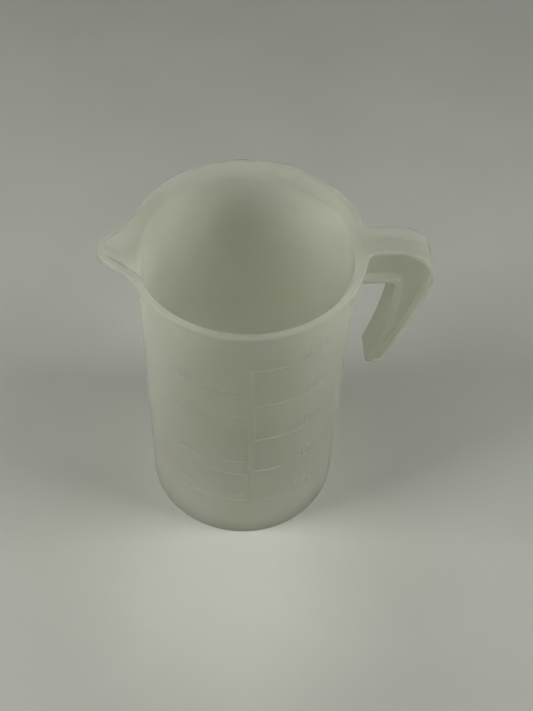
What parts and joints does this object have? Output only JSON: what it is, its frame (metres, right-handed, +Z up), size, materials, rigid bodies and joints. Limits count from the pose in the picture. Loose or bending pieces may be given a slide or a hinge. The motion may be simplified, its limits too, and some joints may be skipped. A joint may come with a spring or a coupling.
{
  "type": "resin mixing cup",
  "caption": "Tall translucent mixing and measuring cup with a tapered wall, a thick rim, a pouring spout, an open hook handle and raised volume marks up its front.",
  "frame": {"origin": "centre of the base, on the plane that the cup stands on", "axes": "+Z up along the cup's axis, +X towards the handle, -X towards the spout, -Y towards the volume marks"},
  "size_m": [0.1223, 0.087, 0.1372],
  "materials": {
    "milky_plastic": "translucent, satin, natural polypropylene"
  },
  "bodies": {
    "root": {"cup_wall": "milky_plastic", "foot_ring": "milky_plastic", "cup_floor": "milky_plastic", "gate_mark": "milky_plastic", "rim_flare": "milky_plastic", "rim_lip": "milky_plastic", "pouring_spout": "milky_plastic", "spout_lip": "milky_plastic", "handle_root": "milky_plastic", "handle_outer_band": "milky_plastic", "handle_inner_band": "milky_plastic", "handle_tip": "milky_plastic", "handle_web": "milky_plastic", "handle_parting_line": "milky_plastic", "scale_bar": "milky_plastic", "mark_500": "milky_plastic", "mark_400": "milky_plastic", "mark_300": "milky_plastic", "mark_200": "milky_plastic", "mark_100": "milky_plastic", "mark_440": "milky_plastic", "mark_370": "milky_plastic", "mark_230": "milky_plastic", "mark_190": "milky_plastic", "mark_125": "milky_plastic", "mark_105": "milky_plastic", "number_500": "milky_plastic", "number_400": "milky_plastic", "number_300": "milky_plastic", "number_200": "milky_plastic", "number_100": "milky_plastic", "number_440": "milky_plastic", "number_190": "milky_plastic", "number_105": "milky_plastic"}
  },
  "joints": []
}
